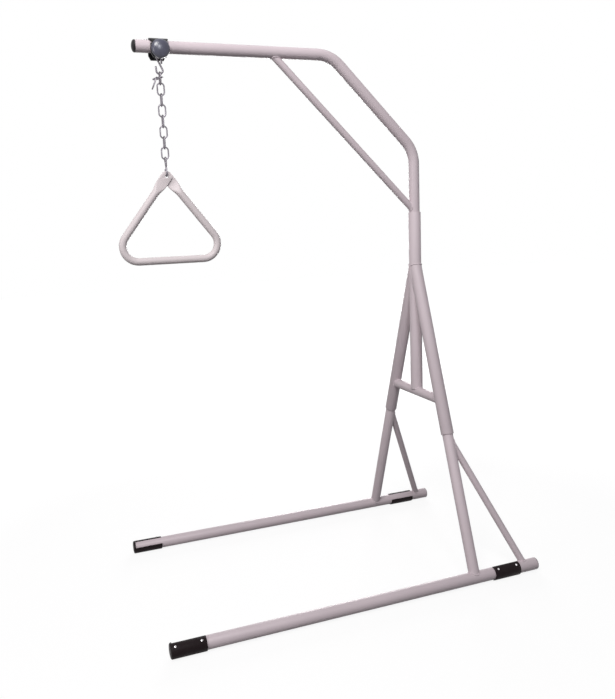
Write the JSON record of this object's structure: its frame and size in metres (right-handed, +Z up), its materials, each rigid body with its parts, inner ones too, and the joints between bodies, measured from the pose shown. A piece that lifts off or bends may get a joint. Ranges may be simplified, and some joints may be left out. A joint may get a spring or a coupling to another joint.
{
  "type": "bed trapeze",
  "caption": "Free-standing bed trapeze: a tube floor stand and mast carry a boom with a sliding screw clamp, a chain and a triangular hand grip.",
  "frame": {"origin": "on the floor under the middle of the object's box, between the rails", "axes": "+Z up, -X along the boom towards the grip, -Y towards the side with the clamp's knob (left rail)"},
  "size_m": [1.2094, 0.7416, 1.6827],
  "materials": {
    "frame_paint": "smooth powder coat, pinkish taupe",
    "grip_paint": "smooth powder coat, pale",
    "black_rubber": "matt",
    "black_plastic": "glossy, moulded",
    "black_cap": "moulded",
    "black_steel": "black enamel",
    "zinc_steel": "dull zinc",
    "bright_steel": "bright"
  },
  "bodies": {
    "stand": {"boom_mast_tube": "frame_paint", "boom_brace": "frame_paint", "boom_end_cap": "black_cap", "boom_stop_screw": "bright_steel", "mast_socket": "frame_paint", "cross_tube": "frame_paint", "left_leg_sleeve": "frame_paint", "left_leg_post": "frame_paint", "left_leg_brace": "frame_paint", "left_rail": "frame_paint", "left_front_boot": "black_rubber", "left_rear_pad": "black_rubber", "left_rear_plug": "black_cap", "left_boot_rivet_1": "bright_steel", "left_boot_rivet_2": "bright_steel", "left_pad_rivet_1": "bright_steel", "left_pad_rivet_2": "bright_steel", "right_leg_sleeve": "frame_paint", "right_leg_post": "frame_paint", "right_leg_brace": "frame_paint", "right_rail": "frame_paint", "right_front_boot": "black_rubber", "right_rear_pad": "black_rubber", "right_rear_plug": "black_cap", "right_boot_rivet_1": "bright_steel", "right_boot_rivet_2": "bright_steel", "right_pad_rivet_1": "bright_steel", "right_pad_rivet_2": "bright_steel", "mast_button_spring": "zinc_steel", "left_leg_button_spring": "zinc_steel", "right_leg_button_spring": "zinc_steel"},
    "clamp": {"clamp_strap": "black_steel", "clamp_nut": "bright_steel", "clamp_pin": "bright_steel"},
    "press": {"clamp_pad": "zinc_steel"},
    "knob": {"clamp_knob": "black_plastic", "clamp_screw": "bright_steel"},
    "upper_hook": {"upper_s_hook": "zinc_steel"},
    "link_1": {"chain_link_1": "zinc_steel"},
    "link_2": {"chain_link_2": "zinc_steel"},
    "link_3": {"chain_link_3": "zinc_steel"},
    "link_4": {"chain_link_4": "zinc_steel"},
    "link_5": {"chain_link_5": "zinc_steel"},
    "link_6": {"chain_link_6": "zinc_steel"},
    "link_7": {"chain_link_7": "zinc_steel"},
    "link_8": {"chain_link_8": "zinc_steel"},
    "spare_1": {"spare_link_1": "zinc_steel"},
    "spare_2": {"spare_link_2": "zinc_steel"},
    "lower_hook": {"lower_s_hook": "zinc_steel"},
    "handle": {"trapeze_handle": "grip_paint"},
    "mast_button": {"mast_snap_button": "bright_steel"},
    "left_leg_button": {"left_leg_snap_button": "bright_steel"},
    "right_leg_button": {"right_leg_snap_button": "bright_steel"}
  },
  "joints": [
    {"name": "clamp_slide", "type": "slide", "parent": "stand", "child": "clamp", "axis": [1, 0, 0], "range_m": [-0.004, 0.3]},
    {"name": "press_slide", "type": "slide", "parent": "clamp", "child": "press", "axis": [0, -1, 0], "range_m": [0, 0.0025]},
    {"name": "knob_turn", "type": "hinge", "parent": "press", "child": "knob", "pos_m": [-0.4523, -0.031, 1.6475], "axis": [0, -1, 0], "range_deg": [0, 720]},
    {"name": "upper_hook_swing", "type": "hinge", "parent": "clamp", "child": "upper_hook", "pos_m": [-0.4523, 0, 1.6332], "axis": [0, 1, 0], "range_deg": [-40, 40]},
    {"name": "link_1_swing", "type": "hinge", "parent": "upper_hook", "child": "link_1", "pos_m": [-0.4523, 0, 1.5861], "axis": [1, 0, 0], "range_deg": [-40, 40]},
    {"name": "link_2_swing", "type": "hinge", "parent": "link_1", "child": "link_2", "pos_m": [-0.4523, 0, 1.5567], "axis": [0, -1, 0], "range_deg": [-40, 40]},
    {"name": "link_3_swing", "type": "hinge", "parent": "link_2", "child": "link_3", "pos_m": [-0.4523, 0, 1.5268], "axis": [-1, 0, 0], "range_deg": [-40, 40]},
    {"name": "link_4_swing", "type": "hinge", "parent": "link_3", "child": "link_4", "pos_m": [-0.4523, 0, 1.4969], "axis": [0, 1, 0], "range_deg": [-40, 40]},
    {"name": "link_5_swing", "type": "hinge", "parent": "link_4", "child": "link_5", "pos_m": [-0.4523, 0, 1.467], "axis": [1, 0, 0], "range_deg": [-40, 40]},
    {"name": "link_6_swing", "type": "hinge", "parent": "link_5", "child": "link_6", "pos_m": [-0.4523, 0, 1.4371], "axis": [0, -1, 0], "range_deg": [-40, 40]},
    {"name": "link_7_swing", "type": "hinge", "parent": "link_6", "child": "link_7", "pos_m": [-0.4523, 0, 1.4072], "axis": [-1, 0, 0], "range_deg": [-40, 40]},
    {"name": "link_8_swing", "type": "hinge", "parent": "link_7", "child": "link_8", "pos_m": [-0.4523, 0, 1.3773], "axis": [0, 1, 0], "range_deg": [-40, 40]},
    {"name": "lower_hook_swing", "type": "hinge", "parent": "link_8", "child": "lower_hook", "pos_m": [-0.4523, 0, 1.3474], "axis": [1, 0, 0], "range_deg": [-40, 40]},
    {"name": "handle_swing", "type": "hinge", "parent": "lower_hook", "child": "handle", "pos_m": [-0.4523, 0, 1.2995], "axis": [0, -1, 0], "range_deg": [-40, 40]},
    {"name": "spare_1_swing", "type": "hinge", "parent": "link_1", "child": "spare_1", "pos_m": [-0.45034, -0.00045, 1.57737], "axis": [0.7582, -0.6513, -0.0312], "range_deg": [-10, 20]},
    {"name": "spare_2_swing", "type": "hinge", "parent": "spare_1", "child": "spare_2", "pos_m": [-0.46721, -0.02499, 1.5713], "axis": [-0.069, -0.9953, 0.0677], "range_deg": [-15, 30]},
    {"name": "mast_button_press", "type": "slide", "parent": "stand", "child": "mast_button", "axis": [-1, 0, 0], "range_m": [0, 0.0047], "stiffness_N_per_m": 800, "deforming": ["mast_button_spring"]},
    {"name": "left_leg_button_press", "type": "slide", "parent": "stand", "child": "left_leg_button", "axis": [-1, 0, 0], "range_m": [0, 0.0047], "stiffness_N_per_m": 800, "deforming": ["left_leg_button_spring"]},
    {"name": "right_leg_button_press", "type": "slide", "parent": "stand", "child": "right_leg_button", "axis": [-1, 0, 0], "range_m": [0, 0.0047], "stiffness_N_per_m": 800, "deforming": ["right_leg_button_spring"]}
  ],
  "couplings": [
    {"joint": "press_slide", "follows": "knob_turn", "m_per_rad": 0.00019894}
  ]
}
